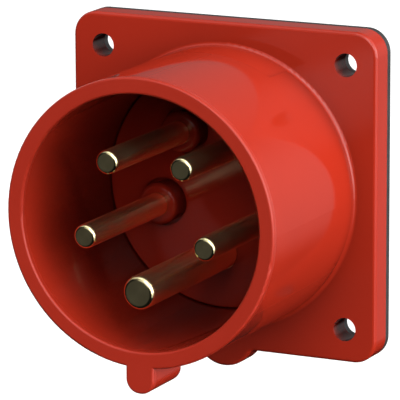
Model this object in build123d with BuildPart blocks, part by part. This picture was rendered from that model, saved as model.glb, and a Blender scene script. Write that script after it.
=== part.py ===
from build123d import *
import os
from math import cos, radians, sin, sqrt, tan

# Five-pole pin and sleeve inlet for a panel, 16 A, with its earth pin at 6 h.
# Frame: the origin is the centre of the panel's front face, where the gasket sits.
# +Y points into the panel, +Z is up and the well opens towards -Y.
# A station is a distance along Y, so stations in front of the panel are negative.

# Flange
flange_side = 70.0
flange_thickness = 5.5
flange_corner_radius = 5.0
flange_edge_radius = 0.8
hole_spacing = 56.0
hole_diameter = 5.0
lug_radius = 7.0
lug_drop = 4.0
lug_blend_radius = 1.5
pocket_depth = 3.0
pocket_wall = 2.4
pocket_boss_radius = 5.2
pocket_bar = 24.0

# Gasket between flange and panel
gasket_thickness = 1.6
gasket_gap = 0.5

# Shroud
shroud_diameter = 60.0
shroud_wall = 3.4
shroud_length = 39.4
bore_draft = 0.6
rim_edge_radius = 0.5
root_radius = 0.8

# Key at 6 h and catch step at 12 h
key_width = 6.3
key_height = 5.4
key_length = 15.2
key_flat = 0.3
catch_distance = 9.0
catch_depth = 1.3
catch_half_angle = 30.0

# Ledge that the carrier sits on, and the collar behind the panel
ledge_width = 5.0
ledge_thickness = 3.5
ledge_key_width = 4.0
ledge_key_height = 1.6
collar_step = 1.0
collar_wall = 2.2
collar_length = 8.0

# Contact carrier
floor_rise = 0.5
disc_thickness = 3.6
disc_edge_radius = 0.4
carrier_clearance = 0.1
boss_radius = 4.5
boss_height = 3.5
boss_edge_radius = 1.1
moat_width = 0.7
moat_depth = 2.0

# Seal between carrier and ledge
seal_width = 1.8
seal_thickness = 1.0
seal_gap = 0.1

# Contacts: pitch circle, pins and the terminals turned on their rear ends
pitch_radius = 14.2
phase_pin_diameter = 5.0
earth_pin_diameter = 7.0
phase_pin_reach = 37.2
earth_pin_reach = 39.9
phase_tip_radius = 0.8
earth_tip_radius = 1.05
relief_depth = 0.5
relief_length = 0.5
shank_step = 0.5
shoulder_step = 1.2
shoulder_thickness = 1.5
pin_clearance = 0.05
phase_terminal_diameter = 8.6
earth_terminal_diameter = 9.4
terminal_length = 22.0
conductor_bore_diameter = 4.0
conductor_bore_depth = 13.0
conductor_bore_offset = 0.7
bore_mouth_chamfer = 0.3

# Terminal screws and the pressure plates under them
terminal_thread_diameter = 4.0
terminal_screw_length = 5.0
terminal_head_diameter = 5.8
terminal_head_height = 2.4
terminal_screw_setback = 6.0
screw_slot_width = 0.8
screw_slot_depth = 1.0
thread_clearance = 0.03
plate_width = 2.4
plate_thickness = 0.4
plate_length = 10.0
plate_hook = 1.6
plate_gap = 0.04

# Terminal block
block_thickness = 4.0
block_clearance = 0.4
tower_wall = 1.6
tower_clearance = 0.15
tower_overhang = 1.8
port_clearance = 0.4
port_wall = 1.2
port_length = 2.8
tower_edge_chamfer = 0.5
tower_mouth_chamfer = 0.4

# Screws that hold block and carrier together
carrier_screw_setback = 3.8
carrier_screw_angles = (90.0, 234.0, 306.0)
carrier_screw_diameter = 2.5
carrier_screw_length = 9.0
carrier_head_diameter = 4.5
carrier_head_height = 1.7
pilot_spare = 0.8

# Contacts by name, with their clock angle seen from the front
contacts = {
    "l1": -18.0,
    "l2": 54.0,
    "l3": 126.0,
    "neutral": 198.0,
    "earth": 270.0,
}

# Two places this close are the same place when edges are picked
near = 0.001

# How far a cut runs past a surface, and a rib into its wall
margin = 1.0

# Stations along Y
panel_face = 0.0
flange_rear = panel_face - gasket_thickness
flange_front = flange_rear - flange_thickness
rim = flange_front - shroud_length
well_floor = flange_front - floor_rise
boss_front = well_floor - boss_height
ledge_front = well_floor + disc_thickness
ledge_rear = ledge_front + ledge_thickness
collar_rear = panel_face + collar_length
block_rear = ledge_rear + block_thickness
terminal_rear = ledge_rear + terminal_length
tower_rear = terminal_rear + tower_overhang
screw_station = terminal_rear - terminal_screw_setback
catch_edge = flange_front - catch_distance

# Radii that follow from the sizes above
shroud_radius = shroud_diameter / 2
mouth_radius = shroud_radius - shroud_wall
bore_radius = mouth_radius - (shroud_length - floor_rise) * tan(radians(bore_draft))
ledge_radius = bore_radius - ledge_width
collar_radius = shroud_radius - collar_step
collar_bore_radius = collar_radius - collar_wall
disc_radius = bore_radius - carrier_clearance
carrier_body_radius = ledge_radius - carrier_clearance
carrier_screw_radius = carrier_body_radius - carrier_screw_setback
seal_radius = bore_radius - ledge_width / 2
conductor_bore_radius = conductor_bore_diameter / 2
terminal_head_radius = terminal_head_diameter / 2
port_radius = terminal_head_radius + port_clearance


def station(y):
    """Plane across the inlet at a station: sketches read as seen from the front."""
    return Plane.XZ.offset(-y)


def axis_plane(angle):
    """Plane through the axis at a clock angle: its x is the distance in front of the panel."""
    a = radians(angle)
    return Plane(origin=(0, 0, 0), x_dir=(0, -1, 0), z_dir=(-sin(a), 0, cos(a)))


def pin_diameter(contact):
    return earth_pin_diameter if contact == "earth" else phase_pin_diameter


def shank_radius(contact):
    return pin_diameter(contact) / 2 + shank_step


def shoulder_radius(contact):
    return shank_radius(contact) + shoulder_step


def terminal_radius(contact):
    return (earth_terminal_diameter if contact == "earth" else phase_terminal_diameter) / 2


def tower_bore_radius(contact):
    return terminal_radius(contact) + tower_clearance


def tower_radius(contact):
    return tower_bore_radius(contact) + tower_wall


def port_reach(contact):
    """How far a screw's port reaches out from its contact's axis."""
    return tower_radius(contact) + port_length


def seat_face(contact):
    """Station of the face that the pin comes out of."""
    return well_floor if contact == "earth" else boss_front


def contact_plane(contact, y):
    """Plane across one contact: its x points away from the inlet's axis."""
    a = radians(contacts[contact])
    centre = (pitch_radius * cos(a), y, pitch_radius * sin(a))
    return Plane(origin=centre, x_dir=(cos(a), 0, sin(a)), z_dir=(0, -1, 0))


def contact_side_plane(contact):
    """Plane through a contact's axis: its x is the distance in front of the panel."""
    a = radians(contacts[contact])
    centre = (pitch_radius * cos(a), 0, pitch_radius * sin(a))
    return Plane(origin=centre, x_dir=(0, -1, 0), z_dir=(-sin(a), 0, cos(a)))


def screw_plane(contact, distance):
    """Plane across a terminal screw, at a distance from the inlet's axis, facing outwards."""
    a = radians(contacts[contact])
    centre = (distance * cos(a), screw_station, distance * sin(a))
    return Plane(origin=centre, x_dir=(0, -1, 0), z_dir=(cos(a), 0, sin(a)))


def ring_edges(radius, y):
    """Circular edges of the piece in work that have a radius and lie at a station."""
    rings = edges().filter_by(GeomType.CIRCLE).filter_by_position(Axis.Y, y - near, y + near)
    return rings.filter_by(lambda edge: abs(edge.radius - radius) < near)


def save(part, name):
    part.label = name
    export_step(part, f"parts/{name}.step")


os.makedirs("parts", exist_ok=True)


# Housing: flange, shroud, key, catch step, lug, ledge and rear collar in one moulding
lug_centre = -(flange_side / 2 + lug_drop - lug_radius)
hole_corners = GridLocations(hole_spacing, hole_spacing, 2, 2)

with BuildPart() as inlet_housing:
    with BuildSketch(station(flange_rear)):
        RectangleRounded(flange_side, flange_side, flange_corner_radius)
        with Locations((0, lug_centre)):
            Circle(lug_radius)
        notch = vertices().filter_by_position(Axis.X, -lug_radius, lug_radius)
        fillet(notch, lug_blend_radius)
    extrude(amount=flange_thickness)
    fillet(faces().sort_by(Axis.Y)[0].edges(), flange_edge_radius)

    # The shroud and its root, then the ring behind the panel
    with BuildSketch(station(flange_rear)):
        Circle(shroud_radius)
    extrude(amount=flange_rear - rim)
    fillet(ring_edges(shroud_radius, flange_front), root_radius)
    with BuildSketch(station(collar_rear)):
        Circle(collar_radius)
    extrude(amount=collar_rear - flange_rear)
    fillet(faces().sort_by(Axis.Y)[-1].edges(), rim_edge_radius)

    # Key on the shroud at 6 h, round below and at its rear end
    with BuildSketch(Plane.XY.offset(-(shroud_radius + key_height))):
        with Locations((0, rim + key_length / 2 - key_width / 4)):
            Rectangle(key_width, key_length - key_width / 2)
        with Locations((0, rim + key_length - key_width / 2)):
            Circle(key_width / 2)
    extrude(amount=key_height + shroud_wall / 2)
    foot = edges(Select.LAST).group_by(Axis.Z)[0].sort_by(Axis.Y)[1:]
    fillet(foot, key_width / 2 - key_flat / 2)
    fillet(faces().sort_by(Axis.Y)[0].edges(), rim_edge_radius)

    # The well, the ledge and the room for the terminal block, turned out of the body
    with BuildSketch(axis_plane(90)):
        with BuildLine():
            Polyline(
                (-rim, 0),
                (-rim, mouth_radius),
                (-well_floor, bore_radius),
                (-ledge_front, bore_radius),
                (-ledge_front, ledge_radius),
                (-ledge_rear, ledge_radius),
                (-ledge_rear, collar_bore_radius),
                (-collar_rear, collar_bore_radius),
                (-collar_rear, 0),
                close=True,
            )
        make_face()
    revolve(axis=Axis.Y, mode=Mode.SUBTRACT)
    fillet(ring_edges(mouth_radius, rim), rim_edge_radius)

    # Groove for the seal in the ledge
    with BuildSketch(station(ledge_front + seal_thickness)):
        Circle(seal_radius + seal_width / 2 + seal_gap)
        Circle(seal_radius - seal_width / 2 - seal_gap, mode=Mode.SUBTRACT)
    extrude(amount=seal_thickness, mode=Mode.SUBTRACT)

    # Rib that sets the carrier's clock position
    with BuildSketch(station(ledge_rear)):
        with Locations((0, ledge_radius - ledge_key_height / 2 + margin / 2)):
            Rectangle(ledge_key_width, ledge_key_height + margin)
    extrude(amount=ledge_thickness)

    # Catch step: a sharp edge towards the flange and a floor that rises back to the root
    with BuildSketch(axis_plane(90 + catch_half_angle)):
        with BuildLine():
            Polyline(
                (-catch_edge, shroud_radius + margin),
                (-catch_edge, shroud_radius - catch_depth),
                (-flange_front + root_radius, shroud_radius),
                (-flange_front + root_radius, shroud_radius + margin),
                close=True,
            )
        make_face()
    revolve(axis=Axis.Y, revolution_arc=2 * catch_half_angle, mode=Mode.SUBTRACT)

    # Screw holes and the pockets in the flange's rear face
    with BuildSketch(station(flange_rear)):
        with hole_corners:
            Circle(hole_diameter / 2)
    extrude(amount=flange_thickness, mode=Mode.SUBTRACT)
    with BuildSketch(station(flange_rear)):
        inner_side = flange_side - 2 * pocket_wall
        RectangleRounded(inner_side, inner_side, flange_corner_radius - pocket_wall)
        Circle(shroud_radius + pocket_wall, mode=Mode.SUBTRACT)
        Rectangle(pocket_bar, flange_side, mode=Mode.SUBTRACT)
        Rectangle(flange_side, pocket_bar, mode=Mode.SUBTRACT)
        with hole_corners:
            Circle(pocket_boss_radius, mode=Mode.SUBTRACT)
    extrude(amount=pocket_depth, mode=Mode.SUBTRACT)
save(inlet_housing.part, "inlet_housing")


# Gasket: the flange's outline with its holes, open round the collar
with BuildPart() as flange_gasket:
    with BuildSketch(station(panel_face)):
        RectangleRounded(flange_side, flange_side, flange_corner_radius)
        with hole_corners:
            Circle(hole_diameter / 2, mode=Mode.SUBTRACT)
        Circle(collar_radius + gasket_gap, mode=Mode.SUBTRACT)
    extrude(amount=gasket_thickness)
save(flange_gasket.part, "flange_gasket")


# Seal ring in the ledge's groove
with BuildPart() as carrier_seal:
    with BuildSketch(station(ledge_front + seal_thickness)):
        Circle(seal_radius + seal_width / 2)
        Circle(seal_radius - seal_width / 2, mode=Mode.SUBTRACT)
    extrude(amount=seal_thickness)
save(carrier_seal.part, "carrier_seal")


# Contact carrier: the floor of the well, with a boss and a moat round each phase pin
with BuildPart() as contact_carrier:
    with BuildSketch(station(ledge_front)):
        Circle(disc_radius)
    extrude(amount=disc_thickness)
    fillet(faces().sort_by(Axis.Y)[0].edges(), disc_edge_radius)
    with BuildSketch(station(ledge_rear)):
        Circle(carrier_body_radius)
        with Locations((0, carrier_body_radius - ledge_key_height / 2)):
            Rectangle(
                ledge_key_width + 2 * carrier_clearance,
                ledge_key_height + 2 * carrier_clearance,
                mode=Mode.SUBTRACT,
            )
    extrude(amount=ledge_thickness)
    for contact in contacts:
        if contact != "earth":
            with BuildSketch(contact_plane(contact, well_floor)):
                Circle(boss_radius)
            extrude(amount=boss_height)
            fillet(edges(Select.LAST).group_by(Axis.Y)[0], boss_edge_radius)
            with BuildSketch(contact_plane(contact, well_floor + moat_depth)):
                Circle(boss_radius + moat_width)
                Circle(boss_radius, mode=Mode.SUBTRACT)
            extrude(amount=moat_depth, mode=Mode.SUBTRACT)
    for contact in contacts:
        bore_depth = ledge_rear - seat_face(contact)
        with BuildSketch(contact_plane(contact, ledge_rear)):
            Circle(pin_diameter(contact) / 2 + pin_clearance)
        extrude(amount=bore_depth, mode=Mode.SUBTRACT)
        with BuildSketch(contact_plane(contact, ledge_rear)):
            Circle(shank_radius(contact) + pin_clearance)
        extrude(amount=bore_depth - relief_length, mode=Mode.SUBTRACT)
        with BuildSketch(contact_plane(contact, ledge_rear)):
            Circle(shoulder_radius(contact) + pin_clearance)
        extrude(amount=shoulder_thickness, mode=Mode.SUBTRACT)
    with BuildSketch(station(ledge_rear)):
        for angle in carrier_screw_angles:
            with PolarLocations(carrier_screw_radius, 1, start_angle=angle):
                Circle(carrier_screw_diameter / 2 + thread_clearance)
    extrude(
        amount=carrier_screw_length - block_thickness + pilot_spare, mode=Mode.SUBTRACT
    )
save(contact_carrier.part, "contact_carrier")


# Terminal block: closes the carrier from behind, with a tower round each terminal
with BuildPart() as terminal_block:
    with BuildSketch(station(block_rear)):
        Circle(collar_bore_radius - block_clearance)
    extrude(amount=block_thickness)
    for contact in contacts:
        with BuildSketch(contact_plane(contact, tower_rear)):
            Circle(tower_radius(contact))
        extrude(amount=tower_rear - ledge_rear)
        chamfer(edges(Select.LAST).group_by(Axis.Y)[-1], tower_edge_chamfer)
        with BuildSketch(screw_plane(contact, pitch_radius)):
            Circle(port_radius + port_wall)
        extrude(amount=port_reach(contact))
    for contact in contacts:
        with BuildSketch(contact_plane(contact, tower_rear)):
            Circle(tower_bore_radius(contact))
        extrude(amount=tower_rear - ledge_rear, mode=Mode.SUBTRACT)
        chamfer(ring_edges(tower_bore_radius(contact), tower_rear), tower_mouth_chamfer)
        with BuildSketch(screw_plane(contact, pitch_radius)):
            Circle(port_radius)
        extrude(amount=port_reach(contact), mode=Mode.SUBTRACT)
    with BuildSketch(station(block_rear)):
        for angle in carrier_screw_angles:
            with PolarLocations(carrier_screw_radius, 1, start_angle=angle):
                Circle(carrier_screw_diameter / 2 + thread_clearance)
    extrude(amount=block_thickness, mode=Mode.SUBTRACT)
save(terminal_block.part, "terminal_block")


# Pins: turned in one piece from the tip to the terminal, relieved in the carrier's mouth
for contact in contacts:
    is_earth = contact == "earth"
    pin_radius = pin_diameter(contact) / 2
    relief_radius = pin_radius - relief_depth
    tip = flange_front - (earth_pin_reach if is_earth else phase_pin_reach)
    relief_front = seat_face(contact)
    shank_front = relief_front + relief_length
    shoulder_front = ledge_rear - shoulder_thickness
    axis = Axis(contact_plane(contact, 0).origin, (0, -1, 0))
    with BuildPart() as pin:
        with BuildSketch(contact_side_plane(contact)):
            with BuildLine():
                Polyline(
                    (-terminal_rear, 0),
                    (-terminal_rear, terminal_radius(contact)),
                    (-ledge_rear, terminal_radius(contact)),
                    (-ledge_rear, shoulder_radius(contact)),
                    (-shoulder_front, shoulder_radius(contact)),
                    (-shoulder_front, shank_radius(contact)),
                    (-shank_front, shank_radius(contact)),
                    (-shank_front, relief_radius),
                    (-relief_front, relief_radius),
                    (-relief_front, pin_radius),
                    (-tip, pin_radius),
                    (-tip, 0),
                    close=True,
                )
            make_face()
        revolve(axis=axis)
        fillet(
            faces().sort_by(Axis.Y)[0].edges(),
            earth_tip_radius if is_earth else phase_tip_radius,
        )
        with BuildSketch(contact_plane(contact, terminal_rear)):
            with Locations((-conductor_bore_offset, 0)):
                Circle(conductor_bore_radius)
        extrude(amount=conductor_bore_depth, mode=Mode.SUBTRACT)
        chamfer(ring_edges(conductor_bore_radius, terminal_rear), bore_mouth_chamfer)
        with BuildSketch(screw_plane(contact, pitch_radius - conductor_bore_offset)):
            Circle(terminal_thread_diameter / 2 + thread_clearance)
        extrude(amount=2 * terminal_radius(contact), mode=Mode.SUBTRACT)
    save(pin.part, f"pin_{contact}")


# Pressure plates: a leaf in each conductor bore, hooked over the terminal's rear end
plate_seat = sqrt(conductor_bore_radius**2 - (plate_width / 2) ** 2) - plate_gap
plate_front = terminal_rear - plate_length

for contact in contacts:
    with BuildPart() as plate:
        with BuildSketch(contact_plane(contact, terminal_rear + plate_thickness)):
            with Locations((plate_seat - conductor_bore_offset - plate_thickness / 2, 0)):
                Rectangle(plate_thickness, plate_width)
        extrude(amount=plate_length + plate_thickness)
        with BuildSketch(contact_plane(contact, terminal_rear + plate_thickness)):
            with Locations((plate_seat - conductor_bore_offset + plate_hook / 2, 0)):
                Rectangle(plate_hook, plate_width)
        extrude(amount=plate_thickness)
    save(plate.part, f"pressure_plate_{contact}")


# Terminal screws: slotted, each with its tip on its pressure plate
screw_tip = pitch_radius - conductor_bore_offset + plate_seat

for contact in contacts:
    under_head = screw_tip + terminal_screw_length
    with BuildPart() as screw:
        with BuildSketch(screw_plane(contact, screw_tip)):
            Circle(terminal_thread_diameter / 2)
        extrude(amount=terminal_screw_length)
        with BuildSketch(screw_plane(contact, under_head)):
            Circle(terminal_head_radius)
        extrude(amount=terminal_head_height)
        with BuildSketch(screw_plane(contact, under_head + terminal_head_height)):
            Rectangle(terminal_head_diameter, screw_slot_width)
        extrude(amount=-screw_slot_depth, mode=Mode.SUBTRACT)
    save(screw.part, f"terminal_screw_{contact}")


# Screws that pull the terminal block and the carrier together on the ledge
for number, angle in enumerate(carrier_screw_angles, 1):
    with BuildPart() as screw:
        with BuildSketch(station(block_rear)):
            with PolarLocations(carrier_screw_radius, 1, start_angle=angle):
                Circle(carrier_screw_diameter / 2)
        extrude(amount=carrier_screw_length)
        with BuildSketch(station(block_rear)):
            with PolarLocations(carrier_screw_radius, 1, start_angle=angle):
                Circle(carrier_head_diameter / 2)
        extrude(amount=-carrier_head_height)
    save(screw.part, f"carrier_screw_{number}")
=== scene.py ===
import math

import bpy
from mathutils import Matrix, Vector


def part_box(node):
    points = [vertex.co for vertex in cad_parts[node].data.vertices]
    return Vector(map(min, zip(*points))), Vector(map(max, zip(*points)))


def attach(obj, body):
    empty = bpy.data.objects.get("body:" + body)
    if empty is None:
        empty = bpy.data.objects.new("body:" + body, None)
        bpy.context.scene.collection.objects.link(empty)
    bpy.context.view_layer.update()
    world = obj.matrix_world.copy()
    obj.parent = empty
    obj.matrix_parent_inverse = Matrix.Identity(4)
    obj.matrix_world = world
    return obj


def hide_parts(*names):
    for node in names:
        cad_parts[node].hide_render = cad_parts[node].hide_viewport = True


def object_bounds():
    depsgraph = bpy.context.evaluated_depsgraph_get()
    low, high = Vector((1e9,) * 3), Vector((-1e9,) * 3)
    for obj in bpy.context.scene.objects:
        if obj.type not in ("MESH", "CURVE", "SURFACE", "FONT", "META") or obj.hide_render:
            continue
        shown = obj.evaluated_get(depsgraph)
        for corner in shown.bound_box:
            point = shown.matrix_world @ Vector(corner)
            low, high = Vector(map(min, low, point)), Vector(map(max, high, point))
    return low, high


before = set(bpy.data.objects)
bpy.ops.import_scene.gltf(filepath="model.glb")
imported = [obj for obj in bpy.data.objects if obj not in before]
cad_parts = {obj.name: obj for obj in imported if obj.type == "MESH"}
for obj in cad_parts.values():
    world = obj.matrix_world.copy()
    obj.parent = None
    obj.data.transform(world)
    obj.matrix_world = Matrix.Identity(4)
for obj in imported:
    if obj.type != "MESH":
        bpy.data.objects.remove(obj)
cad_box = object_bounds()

bl_info = {
    "name": "Pin and Sleeve Inlet",
    "version": (1, 0, 0),
    "blender": (4, 5, 0),
    "location": "View3D > Sidebar > Inlet",
    "description": "Finishes the five-pole panel inlet and sets up its studio",
    "category": "Object",
}

CONTACTS = ("l1", "l2", "l3", "neutral", "earth")
CARRIER_SCREWS = (1, 2, 3)
SEALS = ("flange_gasket", "carrier_seal")


class InletFinish(bpy.types.PropertyGroup):
    """Colours and gloss of the inlet's own finishes, and the shade painted into its reds."""

    red: bpy.props.FloatVectorProperty(
        name="Red",
        description="Colour of the glossy red mouldings",
        subtype="COLOR",
        size=3,
        min=0,
        max=1,
        default=(0.42, 0.025, 0.0105),
    )
    carrier_red: bpy.props.FloatVectorProperty(
        name="Carrier red",
        description="Colour of the contact carrier, which is a plainer red plastic",
        subtype="COLOR",
        size=3,
        min=0,
        max=1,
        default=(0.5, 0.026, 0.011),
    )
    carrier_gloss: bpy.props.FloatProperty(
        name="Carrier gloss",
        description="Specular level of the contact carrier, where 0.5 is full gloss",
        min=0,
        max=1,
        default=0.2,
    )
    rubber: bpy.props.FloatVectorProperty(
        name="Rubber",
        description="Colour of the gasket and the carrier's seal",
        subtype="COLOR",
        size=3,
        min=0,
        max=1,
        default=(0.013, 0.013, 0.014),
    )
    block: bpy.props.FloatVectorProperty(
        name="Terminal block",
        description="Colour of the dark moulding behind the panel",
        subtype="COLOR",
        size=3,
        min=0,
        max=1,
        default=(0.042, 0.043, 0.047),
    )
    brass: bpy.props.FloatVectorProperty(
        name="Brass",
        description="Colour of the turned contacts",
        subtype="COLOR",
        size=3,
        min=0,
        max=1,
        default=(0.88, 0.76, 0.42),
    )
    zinc: bpy.props.FloatVectorProperty(
        name="Zinc",
        description="Colour of the plated screws and pressure plates",
        subtype="COLOR",
        size=3,
        min=0,
        max=1,
        default=(0.66, 0.67, 0.69),
    )
    # Painted shade: for diffuse rays the reds are painted black, all but this share, so that one
    # wall throws less light on another.
    bounce: bpy.props.FloatProperty(
        name="Bounce",
        description="Share of the red that one moulded wall throws on another",
        subtype="FACTOR",
        min=0,
        max=1,
        default=0.12,
    )
    # Painted shade: the housing's red is painted darker in narrow corners, where shade falls.
    painted_hollow_shade: bpy.props.FloatProperty(
        name="Painted hollow shade",
        description="How much darker the red is in narrow corners",
        subtype="FACTOR",
        min=0,
        max=1,
        default=0.9,
    )
    # Painted shade: the carrier's red is painted darker in narrow corners, where shade falls.
    carrier_painted_shade: bpy.props.FloatProperty(
        name="Carrier painted shade",
        description="How much darker the contact carrier is in narrow corners",
        subtype="FACTOR",
        min=0,
        max=1,
        default=0.6,
    )
    # Reach of the painted corner shade.
    hollow_size: bpy.props.FloatProperty(
        name="Hollow size",
        description="Width of the hollows that count as corners",
        subtype="DISTANCE",
        unit="LENGTH",
        default=0.04,
    )
    red_roughness: bpy.props.FloatProperty(
        name="Red roughness",
        description="Roughness of the polished red moulding",
        min=0,
        max=1,
        default=0.07,
    )
    rim_roughness: bpy.props.FloatProperty(
        name="Rim roughness",
        description="Roughness that the shroud's satin rim has more than the rest",
        min=0,
        max=1,
        default=0.3,
    )


class InletScrews(bpy.types.PropertyGroup):
    """Sizes of the screws that the frame's plain screws don't give."""

    terminal_pitch: bpy.props.FloatProperty(
        name="Terminal screw pitch",
        description="Distance between the turns of an M4 thread",
        subtype="DISTANCE",
        unit="LENGTH",
        default=0.0007,
    )
    carrier_pitch: bpy.props.FloatProperty(
        name="Carrier screw pitch",
        description="Distance between the turns of a 2.5 mm thread that forms its own hole",
        subtype="DISTANCE",
        unit="LENGTH",
        default=0.0011,
    )
    thread_depth: bpy.props.FloatProperty(
        name="Thread depth",
        description="Depth of a thread as a share of its pitch",
        subtype="FACTOR",
        min=0.1,
        max=1,
        default=0.5,
    )
    slot_width: bpy.props.FloatProperty(
        name="Slot width",
        description="Width of the slots and of the cross recess's arms",
        subtype="DISTANCE",
        unit="LENGTH",
        default=0.0008,
    )
    slot_depth: bpy.props.FloatProperty(
        name="Slot depth",
        description="Depth of the slots and of the cross recess",
        subtype="DISTANCE",
        unit="LENGTH",
        default=0.001,
    )


class InletStudio(bpy.types.PropertyGroup):
    """Camera, floor and light round the inlet."""

    azimuth: bpy.props.FloatProperty(
        name="Azimuth",
        description="How far the camera stands to the right of the inlet's axis",
        subtype="ANGLE",
        unit="ROTATION",
        default=math.radians(25.955),
    )
    elevation: bpy.props.FloatProperty(
        name="Elevation",
        description="How far the camera looks down",
        subtype="ANGLE",
        unit="ROTATION",
        default=math.radians(12.596),
    )
    roll: bpy.props.FloatProperty(
        name="Roll",
        description="Turn of the camera about its own axis",
        subtype="ANGLE",
        unit="ROTATION",
        default=math.radians(-0.215),
    )
    distance: bpy.props.FloatProperty(
        name="Distance",
        description="From the camera to the point that it looks at",
        subtype="DISTANCE",
        unit="LENGTH",
        default=0.797,
    )
    aim: bpy.props.FloatVectorProperty(
        name="Aim",
        description="The point that the camera looks at",
        subtype="TRANSLATION",
        unit="LENGTH",
        size=3,
        default=(0.005317, -0.029017, 0.00199),
    )
    lens: bpy.props.FloatProperty(
        name="Lens",
        description="Focal length in millimetres on a 36 mm sensor",
        min=50,
        default=351.1,
    )
    mirrored_white: bpy.props.FloatProperty(
        name="Mirrored white",
        description="Share of the white background that gloss and metal show",
        subtype="FACTOR",
        min=0,
        max=1,
        default=0.006,
    )
    floor_drop: bpy.props.FloatProperty(
        name="Floor drop",
        description="Height of the inlet's lowest point above the floor",
        subtype="DISTANCE",
        unit="LENGTH",
        default=0.2,
    )
    floor_size: bpy.props.FloatProperty(
        name="Floor size",
        description="Side of the square floor",
        subtype="DISTANCE",
        unit="LENGTH",
        default=8.0,
    )


def node(tree, kind, **settings):
    """Add a shader node and set its plain attributes."""
    made = tree.nodes.new(kind)
    for key, value in settings.items():
        setattr(made, key, value)
    return made


def feed(tree, socket, value):
    """Link a socket to another one, or set it to a plain value."""
    if isinstance(value, bpy.types.NodeSocket):
        tree.links.new(value, socket)
    else:
        socket.default_value = value


def math_node(tree, operation, first, second=0.0, third=0.0):
    """One Math node; returns its output."""
    made = node(tree, "ShaderNodeMath", operation=operation)
    for socket, value in zip(made.inputs, (first, second, third)):
        feed(tree, socket, value)
    return made.outputs[0]


def ramp(tree, value, low, high, start=0.0, end=1.0):
    """Smooth step of a value between two limits; returns its output."""
    made = node(tree, "ShaderNodeMapRange", interpolation_type="SMOOTHSTEP")
    feed(tree, made.inputs["Value"], value)
    limits = {"From Min": low, "From Max": high, "To Min": start, "To Max": end}
    for name, limit in limits.items():
        feed(tree, made.inputs[name], limit)
    return made.outputs["Result"]


def noise(tree, vector, scale, detail=2.0):
    """Noise texture; returns its factor."""
    made = node(tree, "ShaderNodeTexNoise")
    feed(tree, made.inputs["Vector"], vector)
    feed(tree, made.inputs["Scale"], scale)
    feed(tree, made.inputs["Detail"], detail)
    return made.outputs["Fac"]


def new_group(name, numbers, results):
    """Empty shader group that takes a place and numbers, and puts out a number for each result.

    Returns the group, its input node and its output node.
    """
    group = bpy.data.node_groups.new(name, "ShaderNodeTree")
    group.interface.new_socket(name="Place", in_out="INPUT", socket_type="NodeSocketVector")
    for number in numbers:
        group.interface.new_socket(name=number, in_out="INPUT", socket_type="NodeSocketFloat")
    for result in results:
        group.interface.new_socket(name=result, in_out="OUTPUT", socket_type="NodeSocketFloat")
    return group, group.nodes.new("NodeGroupInput"), group.nodes.new("NodeGroupOutput")


# Marks on the skins. A pair of limits is where a smooth step starts and ends.
SMUDGES_TO_A_WAVE = 4.0
TONE_LIMITS = 0.3, 0.7
PATCH_LIMITS = 0.35, 0.7
PATINA_SCALE = 220.0


def moulded_skin_group():
    """Skin of a moulding: fine grain, and slow waves where the melt flowed."""
    name = "Moulded skin"
    if name in bpy.data.node_groups:
        return bpy.data.node_groups[name]
    numbers = "Grain scale", "Grain depth", "Flow scale"
    group, given, put = new_group(name, numbers, ("Height", "Tone", "Gloss"))
    place = given.outputs["Place"]
    grain = noise(group, place, given.outputs["Grain scale"], detail=3.0)
    flow = noise(group, place, given.outputs["Flow scale"], detail=2.0)
    smudge_scale = math_node(group, "MULTIPLY", given.outputs["Flow scale"], SMUDGES_TO_A_WAVE)
    smudge = noise(group, place, smudge_scale, detail=4.0)
    fine = math_node(group, "MULTIPLY", grain, given.outputs["Grain depth"])
    feed(group, put.inputs["Height"], math_node(group, "ADD", fine, flow))
    feed(group, put.inputs["Tone"], ramp(group, flow, *TONE_LIMITS))
    feed(group, put.inputs["Gloss"], ramp(group, smudge, *PATCH_LIMITS))
    return group


def turned_rings_group():
    """Marks of the lathe tool: rings round Y with uneven depth."""
    name = "Turned rings"
    if name in bpy.data.node_groups:
        return bpy.data.node_groups[name]
    group, given, put = new_group(name, ("Rings per metre",), ("Height", "Tone"))
    parts = node(group, "ShaderNodeSeparateXYZ")
    feed(group, parts.inputs[0], given.outputs["Place"])
    along = node(group, "ShaderNodeCombineXYZ")
    feed(group, along.inputs["Y"], parts.outputs["Y"])
    rings = noise(group, along.outputs[0], given.outputs["Rings per metre"], detail=3.0)
    patina = noise(group, given.outputs["Place"], PATINA_SCALE, detail=3.0)
    feed(group, put.inputs["Height"], rings)
    feed(group, put.inputs["Tone"], ramp(group, patina, *PATCH_LIMITS))
    return group


def new_material():
    """Material with a Principled shader: returns the material, its tree, shader and coordinates."""
    material = bpy.data.materials.new("finish")
    material.use_nodes = True
    tree = material.node_tree
    shader = tree.nodes["Principled BSDF"]
    place = node(tree, "ShaderNodeTexCoord").outputs["Object"]
    return material, tree, shader, place


def add_group(tree, group, values):
    """Place a shared group in a material with its own values; returns its outputs."""
    made = node(tree, "ShaderNodeGroup", node_tree=group)
    for name, value in values.items():
        feed(tree, made.inputs[name], value)
    return made.outputs


def blend_colours(tree, factor, first, second):
    """Mix of two plain colours by a mask; returns the colour."""
    made = node(tree, "ShaderNodeMix", data_type="RGBA")
    feed(tree, made.inputs["Factor"], factor)
    feed(tree, made.inputs["A"], (*first, 1.0))
    feed(tree, made.inputs["B"], (*second, 1.0))
    return made.outputs["Result"]


def shaded(colour, share):
    """A colour made lighter or darker by a share."""
    return tuple(min(1.0, channel * share) for channel in colour)


def add_bump(tree, shader, height, distance):
    """Bump of a height field, its distance in metres, into the shader's normal."""
    made = node(tree, "ShaderNodeBump")
    feed(tree, made.inputs["Height"], height)
    made.inputs["Distance"].default_value = distance
    tree.links.new(made.outputs["Normal"], shader.inputs["Normal"])


BLACK = (0.0, 0.0, 0.0, 1.0)
WHITE = (1.0, 1.0, 1.0, 1.0)

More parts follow.
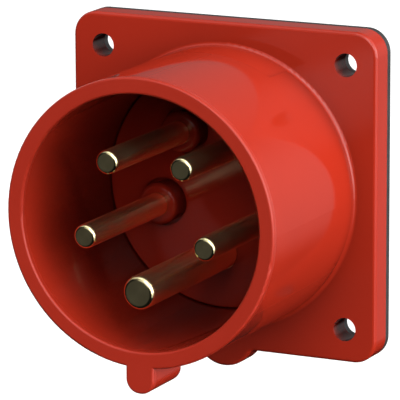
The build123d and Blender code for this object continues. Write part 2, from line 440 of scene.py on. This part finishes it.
# Skins: cells of grain and waves of flow in a metre, and the grain's depth beside the waves'.
RED_SKIN = {"Grain scale": 1800.0, "Grain depth": 0.04, "Flow scale": 45.0}
RUBBER_SKIN = {"Grain scale": 3200.0, "Grain depth": 0.8, "Flow scale": 90.0}
BLOCK_SKIN = {"Grain scale": 2600.0, "Grain depth": 0.9, "Flow scale": 70.0}
ZINC_SKIN = {"Grain scale": 5200.0, "Grain depth": 0.5, "Flow scale": 300.0}

# The reds: how far their tone varies, their gloss, and how much rougher smudges are.
RED_TONES = 0.975, 1.025
PLASTIC_IOR = 1.45
FULL_GLOSS = 0.5
SMUDGED = 1.5
RED_BUMP = 0.000015

# Painted corner shade: shares of open sky at which a corner is painted darkest and at which it is
# painted no darker, and the share of this painted shade that a mirrored view of it loses.
SKY_SAMPLES = 16
SKY_LIMITS = 0.1, 0.8
MIRRORED_SHADE_LOSS = 0.9

# The rim is satin up to the first distance behind the mouth, and polished past the second.
RIM_REACH = 0.0008, 0.002

# Turned brass. A face is an end or a part of the shaft by how much it looks along the pin.
RINGS = {"Rings per metre": 4200.0}
TARNISHED = 0.93
END_LIMITS = 0.3, 0.9
SHAFT_ROUGHNESS = 0.23
END_ROUGHNESS = 0.13
PATINA_ROUGHNESS = 0.04
RING_STRETCH = 0.6
QUARTER_TURN = 0.25
RING_BUMP = 0.000004


def painted_shade_mask(tree, settings, shade):
    """Share of black painted into a red: painted shade in its narrow corners, and painted black for
    diffuse rays, so that it throws less light on other walls.
    """
    sky = node(tree, "ShaderNodeAmbientOcclusion", samples=SKY_SAMPLES)
    sky.inputs["Distance"].default_value = settings.hollow_size
    path = node(tree, "ShaderNodeLightPath")
    # Painted shade: black is mixed into the red where little open sky is seen.
    corner = ramp(tree, sky.outputs["AO"], *SKY_LIMITS, 1.0, 0.0)
    hollow = math_node(tree, "MULTIPLY", corner, shade)
    glossy = path.outputs["Is Glossy Ray"]
    kept = math_node(tree, "MULTIPLY_ADD", glossy, -MIRRORED_SHADE_LOSS, 1.0)
    hollow = math_node(tree, "MULTIPLY", hollow, kept)
    # Painted shade for diffuse rays: the red is black to them, all but the bounce share.
    lost = math_node(tree, "MULTIPLY", path.outputs["Is Diffuse Ray"], 1.0 - settings.bounce)
    return math_node(tree, "MAXIMUM", hollow, lost)


def rim_mask(tree, settings, place):
    """Roughness that the satin rim adds at the shroud's mouth, fading out behind it."""
    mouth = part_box("inlet_housing")[0][1]
    depth = node(tree, "ShaderNodeSeparateXYZ")
    feed(tree, depth.inputs[0], place)
    satin, polished = (mouth + reach for reach in RIM_REACH)
    return ramp(tree, depth.outputs["Y"], satin, polished, settings.rim_roughness, 0.0)


def moulded_red(settings, red, gloss, shade):
    """Red plastic with a polished skin, a satin rim and painted shade in its corners."""
    material, tree, shader, place = new_material()
    skin = add_group(tree, moulded_skin_group(), {"Place": place, **RED_SKIN})
    dark, light = (shaded(red, share) for share in RED_TONES)
    colour = blend_colours(tree, skin["Tone"], dark, light)
    # Painted shade: the red is mixed towards black by the mask.
    darkened = node(tree, "ShaderNodeMix", data_type="RGBA")
    feed(tree, darkened.inputs["Factor"], painted_shade_mask(tree, settings, shade))
    feed(tree, darkened.inputs["A"], colour)
    feed(tree, darkened.inputs["B"], BLACK)
    feed(tree, shader.inputs["Base Color"], darkened.outputs["Result"])
    dullest = settings.red_roughness * SMUDGED
    rough = ramp(tree, skin["Gloss"], 0.0, 1.0, settings.red_roughness, dullest)
    rough = math_node(tree, "ADD", rough, rim_mask(tree, settings, place))
    feed(tree, shader.inputs["Roughness"], rough)
    shader.inputs["IOR"].default_value = PLASTIC_IOR
    shader.inputs["Specular IOR Level"].default_value = gloss
    add_bump(tree, shader, skin["Height"], RED_BUMP)
    return material


def red_plastic(settings):
    """Polished red of the housing."""
    return moulded_red(settings, settings.red, FULL_GLOSS, settings.painted_hollow_shade)


def carrier_plastic(settings):
    """Plainer red of the contact carrier, at the well's floor."""
    gloss, shade = settings.carrier_gloss, settings.carrier_painted_shade
    return moulded_red(settings, settings.carrier_red, gloss, shade)


def skinned(colour, skin, tones, roughness, bump, metallic=0.0):
    """Material whose colour and gloss vary over its skin.

    The colour lies between two shares of itself, the tones, and the roughness between two values.
    bump is the skin's height in metres.
    """
    material, tree, shader, place = new_material()
    marks = add_group(tree, moulded_skin_group(), {"Place": place, **skin})
    dark, light = (shaded(colour, share) for share in tones)
    feed(tree, shader.inputs["Base Color"], blend_colours(tree, marks["Tone"], dark, light))
    feed(tree, shader.inputs["Roughness"], ramp(tree, marks["Gloss"], 0.0, 1.0, *roughness))
    shader.inputs["Metallic"].default_value = metallic
    add_bump(tree, shader, marks["Height"], bump)
    return material


def black_rubber(settings):
    """Matt rubber with a fine grain."""
    return skinned(
        settings.rubber, RUBBER_SKIN, tones=(0.8, 1.5), roughness=(0.55, 0.72), bump=0.00006
    )


def block_plastic(settings):
    """Dark moulding with a dull grain."""
    return skinned(
        settings.block, BLOCK_SKIN, tones=(0.85, 1.2), roughness=(0.38, 0.52), bump=0.00005
    )


def zinc_steel(settings):
    """Plated steel with a faint grain."""
    return skinned(
        settings.zinc,
        ZINC_SKIN,
        tones=(0.9, 1.0),
        roughness=(0.24, 0.38),
        bump=0.000012,
        metallic=1.0,
    )


def contact_brass(settings):
    """Turned brass: fine rings round the pins, smoother on their ends than on their shafts."""
    material, tree, shader, place = new_material()
    rings = add_group(tree, turned_rings_group(), {"Place": place, **RINGS})
    tarnished = shaded(settings.brass, TARNISHED)
    colour = blend_colours(tree, rings["Tone"], settings.brass, tarnished)
    feed(tree, shader.inputs["Base Color"], colour)
    shader.inputs["Metallic"].default_value = 1.0
    outwards = node(tree, "ShaderNodeSeparateXYZ")
    feed(tree, outwards.inputs[0], node(tree, "ShaderNodeTexCoord").outputs["Normal"])
    end_on = math_node(tree, "ABSOLUTE", outwards.outputs["Y"])
    turned = ramp(tree, end_on, *END_LIMITS, SHAFT_ROUGHNESS, END_ROUGHNESS)
    rough = math_node(tree, "MULTIPLY_ADD", rings["Tone"], PATINA_ROUGHNESS, turned)
    feed(tree, shader.inputs["Roughness"], rough)
    shader.inputs["Anisotropic"].default_value = RING_STRETCH
    shader.inputs["Anisotropic Rotation"].default_value = QUARTER_TURN
    groove = node(tree, "ShaderNodeTangent", direction_type="RADIAL", axis="Y")
    tree.links.new(groove.outputs[0], shader.inputs["Tangent"])
    add_bump(tree, shader, rings["Height"], RING_BUMP)
    return material


# Makers of the inlet's finishes, by name.
MAKERS = {
    "red_plastic": red_plastic,
    "carrier_plastic": carrier_plastic,
    "black_rubber": black_rubber,
    "grey_plastic": block_plastic,
    "contact_brass": contact_brass,
    "zinc_steel": zinc_steel,
}


def inlet_material(context, kind):
    """One of the inlet's own materials, made when it is first asked for."""
    name = f"inlet_{kind}"
    if name not in bpy.data.materials:
        MAKERS[kind](context.scene.inlet_finish).name = name
    return bpy.data.materials[name]


def finish(context, names, kind):
    """Give CAD nodes one of the inlet's finishes."""
    material = inlet_material(context, kind)
    for name in names:
        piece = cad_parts[name]
        piece.data.materials.clear()
        piece.data.materials.append(material)


class INLET_OT_red_mouldings(bpy.types.Operator):
    """Finish the housing in polished red plastic and the contact carrier in a plainer one"""

    bl_idname = "inlet.red_mouldings"
    bl_label = "Red mouldings"

    def execute(self, context):
        finish(context, ("inlet_housing",), "red_plastic")
        finish(context, ("contact_carrier",), "carrier_plastic")
        return {"FINISHED"}


class INLET_OT_seals(bpy.types.Operator):
    """Finish the gasket and the carrier's seal in black rubber"""

    bl_idname = "inlet.seals"
    bl_label = "Seals"

    def execute(self, context):
        finish(context, SEALS, "black_rubber")
        return {"FINISHED"}


class INLET_OT_terminal_block(bpy.types.Operator):
    """Finish the terminal block in matt dark plastic"""

    bl_idname = "inlet.terminal_block"
    bl_label = "Terminal block"

    def execute(self, context):
        finish(context, ("terminal_block",), "grey_plastic")
        return {"FINISHED"}


class INLET_OT_pins(bpy.types.Operator):
    """Finish the five pins in turned brass"""

    bl_idname = "inlet.pins"
    bl_label = "Pins"

    def execute(self, context):
        pins = [f"pin_{contact}" for contact in CONTACTS]
        finish(context, pins, "contact_brass")
        return {"FINISHED"}


class INLET_OT_pressure_plates(bpy.types.Operator):
    """Finish the pressure plates in zinc-plated steel"""

    bl_idname = "inlet.pressure_plates"
    bl_label = "Pressure plates"

    def execute(self, context):
        plates = [f"pressure_plate_{contact}" for contact in CONTACTS]
        finish(context, plates, "zinc_steel")
        return {"FINISHED"}


def deselect():
    """Deselect every piece."""
    bpy.ops.object.select_all(action="DESELECT")


def select_only(piece):
    """Make a piece the only selected one, and the active one."""
    deselect()
    piece.select_set(True)
    bpy.context.view_layer.objects.active = piece


# Modelled screws. A slot runs out of the head on both sides and a cross recess stays inside it,
# and both lengths are in radii of the head. Each screw is turned from the one before.
HEAD_SIDES = 48
THREAD_SIDES = 24
THROUGH_THE_HEAD = 3.0
ACROSS_THE_HEAD = 1.3
SHARP_EDGE = math.radians(50)
SMOOTH_EDGE = math.radians(35)
SCREW_TURN = math.radians(67)
TRIANGLE_HEIGHT = 1.5  # of an even triangle, in radii of the circle round it
MEASURING_SLACK = 0.02  # share of a screw's length


def apply_modifier(piece, kind, **settings):
    """Give a piece a modifier with these settings, and apply it."""
    select_only(piece)
    made = piece.modifiers.new(kind.title(), kind)
    for key, value in settings.items():
        setattr(made, key, value)
    bpy.ops.object.modifier_apply(modifier=made.name)


def pull_up(rings, vertices):
    """Model a round piece: a disc on the first ring, extruded and resized to each ring in turn.

    A ring is its height on Z and its radius.
    """
    deselect()
    height, radius = rings[0]
    bpy.ops.mesh.primitive_circle_add(
        vertices=vertices, radius=radius, fill_type="NGON", location=(0.0, 0.0, height)
    )
    piece = bpy.context.active_object
    bpy.ops.object.transform_apply(location=True, rotation=True, scale=True)
    bpy.ops.object.mode_set(mode="EDIT")
    bpy.ops.mesh.select_all(action="SELECT")
    for next_height, next_radius in rings[1:]:
        rise = (0.0, 0.0, next_height - height)
        bpy.ops.mesh.extrude_region_move(TRANSFORM_OT_translate={"value": rise})
        share = next_radius / radius
        bpy.ops.transform.resize(value=(share, share, 1.0), center_override=(0.0, 0.0, next_height))
        height, radius = next_height, next_radius
    bpy.ops.mesh.select_all(action="SELECT")
    bpy.ops.mesh.normals_make_consistent(inside=False)
    bpy.ops.object.mode_set(mode="OBJECT")
    return piece


def cut_slot(piece, size, top, angle):
    """Cut a slot of this length, width and depth into the top of a head."""
    deselect()
    length, width, depth = size
    bpy.ops.mesh.primitive_cube_add(size=1.0, location=(0.0, 0.0, top), rotation=(0.0, 0.0, angle))
    tool = bpy.context.active_object
    tool.scale = (length, width, 2.0 * depth)
    bpy.ops.object.transform_apply(location=True, rotation=True, scale=True)
    apply_modifier(piece, "BOOLEAN", operation="DIFFERENCE", object=tool, solver="EXACT")
    bpy.data.objects.remove(tool)


def add_thread(piece, crest, pitch, depth, bottom, top):
    """Wind a three-sided ridge round a core from bottom to top, and join it to the piece.

    crest is the radius that the ridge reaches, and depth is how far its sides go in from there.
    """
    deselect()
    radius = depth / TRIANGLE_HEIGHT
    bpy.ops.mesh.primitive_circle_add(
        vertices=3,
        radius=radius,
        location=(crest - radius, 0.0, bottom),
        rotation=(math.pi / 2, math.pi / 2, 0.0),
    )
    ridge = bpy.context.active_object
    bpy.ops.object.transform_apply(location=True, rotation=True, scale=True)
    turns = int((top - bottom) / pitch)
    sides = {"steps": THREAD_SIDES, "render_steps": THREAD_SIDES}
    apply_modifier(ridge, "SCREW", axis="Z", screw_offset=pitch, iterations=turns, **sides)
    bpy.ops.object.mode_set(mode="EDIT")
    bpy.ops.mesh.select_all(action="SELECT")
    bpy.ops.mesh.fill_holes(sides=3)
    bpy.ops.mesh.normals_make_consistent(inside=False)
    bpy.ops.object.mode_set(mode="OBJECT")
    select_only(piece)
    ridge.select_set(True)
    bpy.ops.object.join()


def model_screw(sizes, pitch, screws, arms):
    """Model a screw that stands on its tip: core, thread, and a head with one slot or a cross."""
    length, shank, head, under_head = sizes
    depth = pitch * screws.thread_depth
    core = shank - depth
    tip_inset, tip_height = 0.5 * depth, 0.6 * depth
    crown = 0.15 * head
    edge, shoulder = 0.3 * crown, 0.4 * crown
    rings = [
        (0.0, core - tip_inset),
        (tip_height, core),
        (under_head, core),
        (under_head, head - edge),
        (under_head + edge, head),
        (length - crown, head),
        (length - shoulder, head - edge),
        (length, head - crown),
    ]
    piece = pull_up(rings, HEAD_SIDES)
    slot_length = (THROUGH_THE_HEAD if arms == 1 else ACROSS_THE_HEAD) * head
    for arm in range(arms):
        slot = (slot_length, screws.slot_width, screws.slot_depth)
        cut_slot(piece, slot, length, arm * math.pi / 2)
    rounding = {"width": 0.05 * shank, "segments": 2}
    apply_modifier(piece, "BEVEL", limit_method="ANGLE", angle_limit=SHARP_EDGE, **rounding)
    rooted_depth = 1.25 * depth
    thread_end = under_head - 0.5 * pitch
    add_thread(piece, shank, pitch, rooted_depth, pitch, thread_end)
    select_only(piece)
    bpy.ops.object.shade_smooth_by_angle(angle=SMOOTH_EDGE)
    return piece


def measure_screw(name, axis):
    """Foot of a plain screw, and its length, two radii and the height of its head's underside."""
    points = [vertex.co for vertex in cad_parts[name].data.vertices]
    low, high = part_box(name)
    centre = (Vector(low) + Vector(high)) / 2
    heights = [(point - centre).dot(axis) for point in points]
    radii = [((point - centre) - axis * height).length for point, height in zip(points, heights)]
    foot, top, head = min(heights), max(heights), max(radii)
    slack = MEASURING_SLACK * (top - foot)
    shank = max(radius for radius, height in zip(radii, heights) if height < foot + slack)
    under_head = min(height for radius, height in zip(radii, heights) if radius > head - slack)
    return centre + axis * foot, (top - foot, shank, head, under_head - foot)


def stand(foot, axis, turn):
    """Matrix that stands a screw on its foot along an axis, turned about it."""
    upright = axis.to_track_quat("Z", "Y").to_matrix().to_4x4()
    return Matrix.Translation(foot) @ upright @ Matrix.Rotation(turn, 4, "Z")


def fit_screws(context, axes, pitch, arms):
    """Model a screw once and put a copy in the place of each plain one, each turned its own way."""
    measured = {name: measure_screw(name, axis) for name, axis in axes.items()}
    sizes = next(iter(measured.values()))[1]
    master = model_screw(sizes, pitch, context.scene.inlet_screws, arms)
    master.data.materials.append(inlet_material(context, "zinc_steel"))
    for number, (name, axis) in enumerate(axes.items()):
        select_only(master)
        bpy.ops.object.duplicate(linked=False)
        screw = context.active_object
        screw.name = f"{name}_threaded"
        screw.matrix_world = stand(measured[name][0], axis, number * SCREW_TURN)
        bpy.ops.object.transform_apply(location=True, rotation=True, scale=True)
        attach(screw, "root")
        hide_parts(name)
    bpy.data.objects.remove(master)


class INLET_OT_terminal_screws(bpy.types.Operator):
    """Model the slotted M4 terminal screws, one in each port, pointing at the inlet's axis"""

    bl_idname = "inlet.terminal_screws"
    bl_label = "Terminal screws"

    def execute(self, context):
        axes = {}
        for contact in CONTACTS:
            low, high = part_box(f"terminal_screw_{contact}")
            outwards = Vector(low) + Vector(high)
            outwards.y = 0.0
            axes[f"terminal_screw_{contact}"] = outwards.normalized()
        fit_screws(context, axes, context.scene.inlet_screws.terminal_pitch, 1)
        return {"FINISHED"}


class INLET_OT_carrier_screws(bpy.types.Operator):
    """Model the cross-head screws behind the terminal block"""

    bl_idname = "inlet.carrier_screws"
    bl_label = "Carrier screws"

    def execute(self, context):
        axes = {f"carrier_screw_{number}": Vector((0.0, 1.0, 0.0)) for number in CARRIER_SCREWS}
        fit_screws(context, axes, context.scene.inlet_screws.carrier_pitch, 2)
        return {"FINISHED"}


def facing(azimuth, elevation):
    """Unit vector from the inlet towards an azimuth from its front and an elevation."""
    level = math.cos(elevation)
    return Vector((math.sin(azimuth) * level, -math.cos(azimuth) * level, math.sin(elevation)))


SENSOR_WIDTH = 36.0  # mm
NEAR_CLIP = 0.1  # share of the camera's distance
FAR_CLIP = 20.0  # metres


def camera_axes(studio):
    """Right, up and back of the camera, in the inlet's frame."""
    roll = studio.roll
    back = facing(studio.azimuth, studio.elevation)
    level = Vector((math.cos(studio.azimuth), math.sin(studio.azimuth), 0.0))
    rise = back.cross(level)
    right = level * math.cos(roll) + rise * math.sin(roll)
    up = rise * math.cos(roll) - level * math.sin(roll)
    return right, up, back


def add_camera(studio):
    """Camera that looks at the inlet as the photograph does."""
    right, up, back = camera_axes(studio)
    data = bpy.data.cameras.new("camera")
    data.lens = studio.lens
    data.sensor_width = SENSOR_WIDTH
    data.clip_start = NEAR_CLIP * studio.distance
    data.clip_end = FAR_CLIP
    camera = bpy.data.objects.new("camera", data)
    bpy.context.scene.collection.objects.link(camera)
    turn = Matrix((right, up, back)).transposed().to_4x4()
    camera.matrix_world = Matrix.Translation(Vector(studio.aim) + back * studio.distance) @ turn
    bpy.context.scene.camera = camera


# Soft boxes of the studio. A box has its azimuth from the inlet's front towards its right, its
# elevation, the angle from its middle at which it has faded out, and its strength. The angles are
# in degrees. The last three boxes are there for the inlet's left and its rear.
SOFT_BOXES = {
    "side": (100, 8, 26, 3.7),
    "side high": (86, 19, 32, 2.1),
    "side top": (110, 38, 32, 1.5),
    "side front": (77, 0, 22, 0.6),
    "front right": (55, 10, 25, 3.6),
    "front high": (25, 31, 26, 3.6),
    "front": (-7, 20, 23, 0.9),
    "key": (57, 48, 32, 0.9),
    "top front": (5, 62, 32, 1.5),
    "top left": (-60, 60, 32, 0.7),
    "top": (145, 57, 32, 0.4),
    "pin ends": (-26, -13, 30, 0.045),
    "pin rims": (62, -13, 20, 0.9),
    "rear right": (140, 0, 32, 0.35),
    "rear high": (-177, 8, 32, 0.27),
    "left fill": (-110, 35, 40, 0.4),
    "rear left": (-125, 0, 27, 2.6),
    "rear": (180, 0, 24, 2.0),
}
# Angle from a soft box's middle within which it has its full strength.
SOFT_BOX_CORE = 10


def soft_box(tree, direction, azimuth, elevation, reach, strength):
    """Brightness that one soft box adds in a direction."""
    made = node(tree, "ShaderNodeVectorMath", operation="DOT_PRODUCT")
    feed(tree, made.inputs[0], direction)
    feed(tree, made.inputs[1], tuple(facing(math.radians(azimuth), math.radians(elevation))))
    edge = math.cos(math.radians(reach))
    core = math.cos(math.radians(SOFT_BOX_CORE))
    return ramp(tree, made.outputs["Value"], edge, core, 0.0, strength)


def add_world(studio):
    """Studio of soft boxes in front of a white background."""
    world = bpy.data.worlds.new("studio")
    bpy.context.scene.world = world
    world.use_nodes = True
    tree = world.node_tree
    tree.nodes.clear()
    direction = node(tree, "ShaderNodeTexCoord").outputs["Generated"]
    light = 0.0
    for box in SOFT_BOXES.values():
        light = math_node(tree, "ADD", light, soft_box(tree, direction, *box))
    path = node(tree, "ShaderNodeLightPath")
    seen = math_node(tree, "MULTIPLY", path.outputs["Is Glossy Ray"], studio.mirrored_white)
    seen = math_node(tree, "MAXIMUM", seen, path.outputs["Is Transmission Ray"])
    seen = math_node(tree, "MAXIMUM", seen, path.outputs["Is Camera Ray"])
    strength = node(tree, "ShaderNodeMix", data_type="FLOAT")
    feed(tree, strength.inputs["Factor"], seen)
    feed(tree, strength.inputs["A"], light)
    feed(tree, strength.inputs["B"], 1.0)
    background = node(tree, "ShaderNodeBackground")
    background.inputs["Color"].default_value = WHITE
    feed(tree, background.inputs["Strength"], strength.outputs["Result"])
    out = node(tree, "ShaderNodeOutputWorld")
    tree.links.new(background.outputs[0], out.inputs["Surface"])


FLOOR_GREY = (0.45, 0.45, 0.45, 1.0)
FLOOR_GLOW = 0.7


def floor_material():
    """Pale floor: white where it is seen in the open, and darker in the inlet's shadow."""
    material = bpy.data.materials.new("pale_floor")
    material.use_nodes = True
    tree = material.node_tree
    tree.nodes.clear()
    matt = node(tree, "ShaderNodeBsdfDiffuse")
    matt.inputs["Color"].default_value = FLOOR_GREY
    glow = node(tree, "ShaderNodeEmission")
    path = node(tree, "ShaderNodeLightPath")
    seen = math_node(tree, "MAXIMUM", path.outputs["Is Camera Ray"], path.outputs["Is Glossy Ray"])
    seen = math_node(tree, "MAXIMUM", seen, path.outputs["Is Transmission Ray"])
    feed(tree, glow.inputs["Strength"], math_node(tree, "MULTIPLY", seen, FLOOR_GLOW))
    both = node(tree, "ShaderNodeAddShader")
    tree.links.new(matt.outputs[0], both.inputs[0])
    tree.links.new(glow.outputs[0], both.inputs[1])
    out = node(tree, "ShaderNodeOutputMaterial")
    tree.links.new(both.outputs[0], out.inputs["Surface"])
    return material


class INLET_OT_studio(bpy.types.Operator):
    """Set up the camera, the pale floor and the soft light"""

    bl_idname = "inlet.studio"
    bl_label = "Studio"

    def execute(self, context):
        studio = context.scene.inlet_studio
        add_camera(studio)
        add_world(studio)
        deselect()
        low = cad_box[0].z - studio.floor_drop
        bpy.ops.mesh.primitive_plane_add(size=studio.floor_size, location=(0.0, 0.0, low))
        floor = context.active_object
        floor.name = "floor"
        floor.data.materials.append(floor_material())
        floor.visible_glossy = False
        floor.visible_diffuse = False
        context.scene.view_settings.view_transform = "Standard"
        return {"FINISHED"}


class INLET_PT_panel(bpy.types.Panel):
    """The inlet's finishes and its studio"""

    bl_idname = "INLET_PT_panel"
    bl_label = "Pin and sleeve inlet"
    bl_space_type = "VIEW_3D"
    bl_region_type = "UI"
    bl_category = "Inlet"

    def draw(self, context):
        layout = self.layout
        for group in SETTINGS:
            settings = getattr(context.scene, group)
            box = layout.box()
            for name in settings.__annotations__:
                box.prop(settings, name)
        for operator in OPERATORS:
            layout.operator(operator.bl_idname)


SETTINGS = {
    "inlet_finish": InletFinish,
    "inlet_screws": InletScrews,
    "inlet_studio": InletStudio,
}
OPERATORS = (
    INLET_OT_red_mouldings,
    INLET_OT_seals,
    INLET_OT_terminal_block,
    INLET_OT_pins,
    INLET_OT_pressure_plates,
    INLET_OT_terminal_screws,
    INLET_OT_carrier_screws,
    INLET_OT_studio,
)


def register():
    for made in (*SETTINGS.values(), *OPERATORS, INLET_PT_panel):
        bpy.utils.register_class(made)
    for name, group in SETTINGS.items():
        setattr(bpy.types.Scene, name, bpy.props.PointerProperty(type=group))


def unregister():
    for name in SETTINGS:
        delattr(bpy.types.Scene, name)
    for made in (INLET_PT_panel, *OPERATORS[::-1], *SETTINGS.values()):
        bpy.utils.unregister_class(made)


def main():
    """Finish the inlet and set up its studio."""
    register()
    bpy.ops.inlet.red_mouldings()
    bpy.ops.inlet.seals()
    bpy.ops.inlet.terminal_block()
    bpy.ops.inlet.pins()
    bpy.ops.inlet.pressure_plates()
    bpy.ops.inlet.terminal_screws()
    bpy.ops.inlet.carrier_screws()
    bpy.ops.inlet.studio()


if __name__ == "__main__":
    main()
